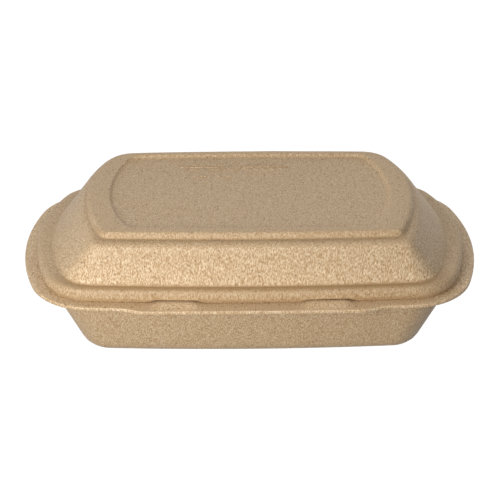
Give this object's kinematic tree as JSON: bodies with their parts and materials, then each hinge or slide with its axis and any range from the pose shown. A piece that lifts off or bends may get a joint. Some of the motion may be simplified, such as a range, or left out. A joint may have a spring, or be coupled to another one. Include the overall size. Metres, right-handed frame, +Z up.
{
  "type": "foam clamshell container",
  "caption": "Hinged foam takeaway box: a deep tray with a wide bowed brim and a stepped domed lid on its back fold.",
  "frame": {"origin": "on the table at the middle of the shut container", "axes": "+X along the width, +Y towards the hinge fold, +Z up"},
  "size_m": [0.24, 0.1334, 0.0705],
  "materials": {
    "kraft_foam": "matte foam sheet with fine dark specks"
  },
  "bodies": {
    "tray_half": {"tray": "kraft_foam"},
    "lid_half": {"lid": "kraft_foam"}
  },
  "joints": [
    {"name": "lid_fold", "type": "hinge", "parent": "tray_half", "child": "lid_half", "pos_m": [0, 0.06685, 0.03615], "axis": [-1, 0, 0], "range_deg": [0, 180]}
  ]
}
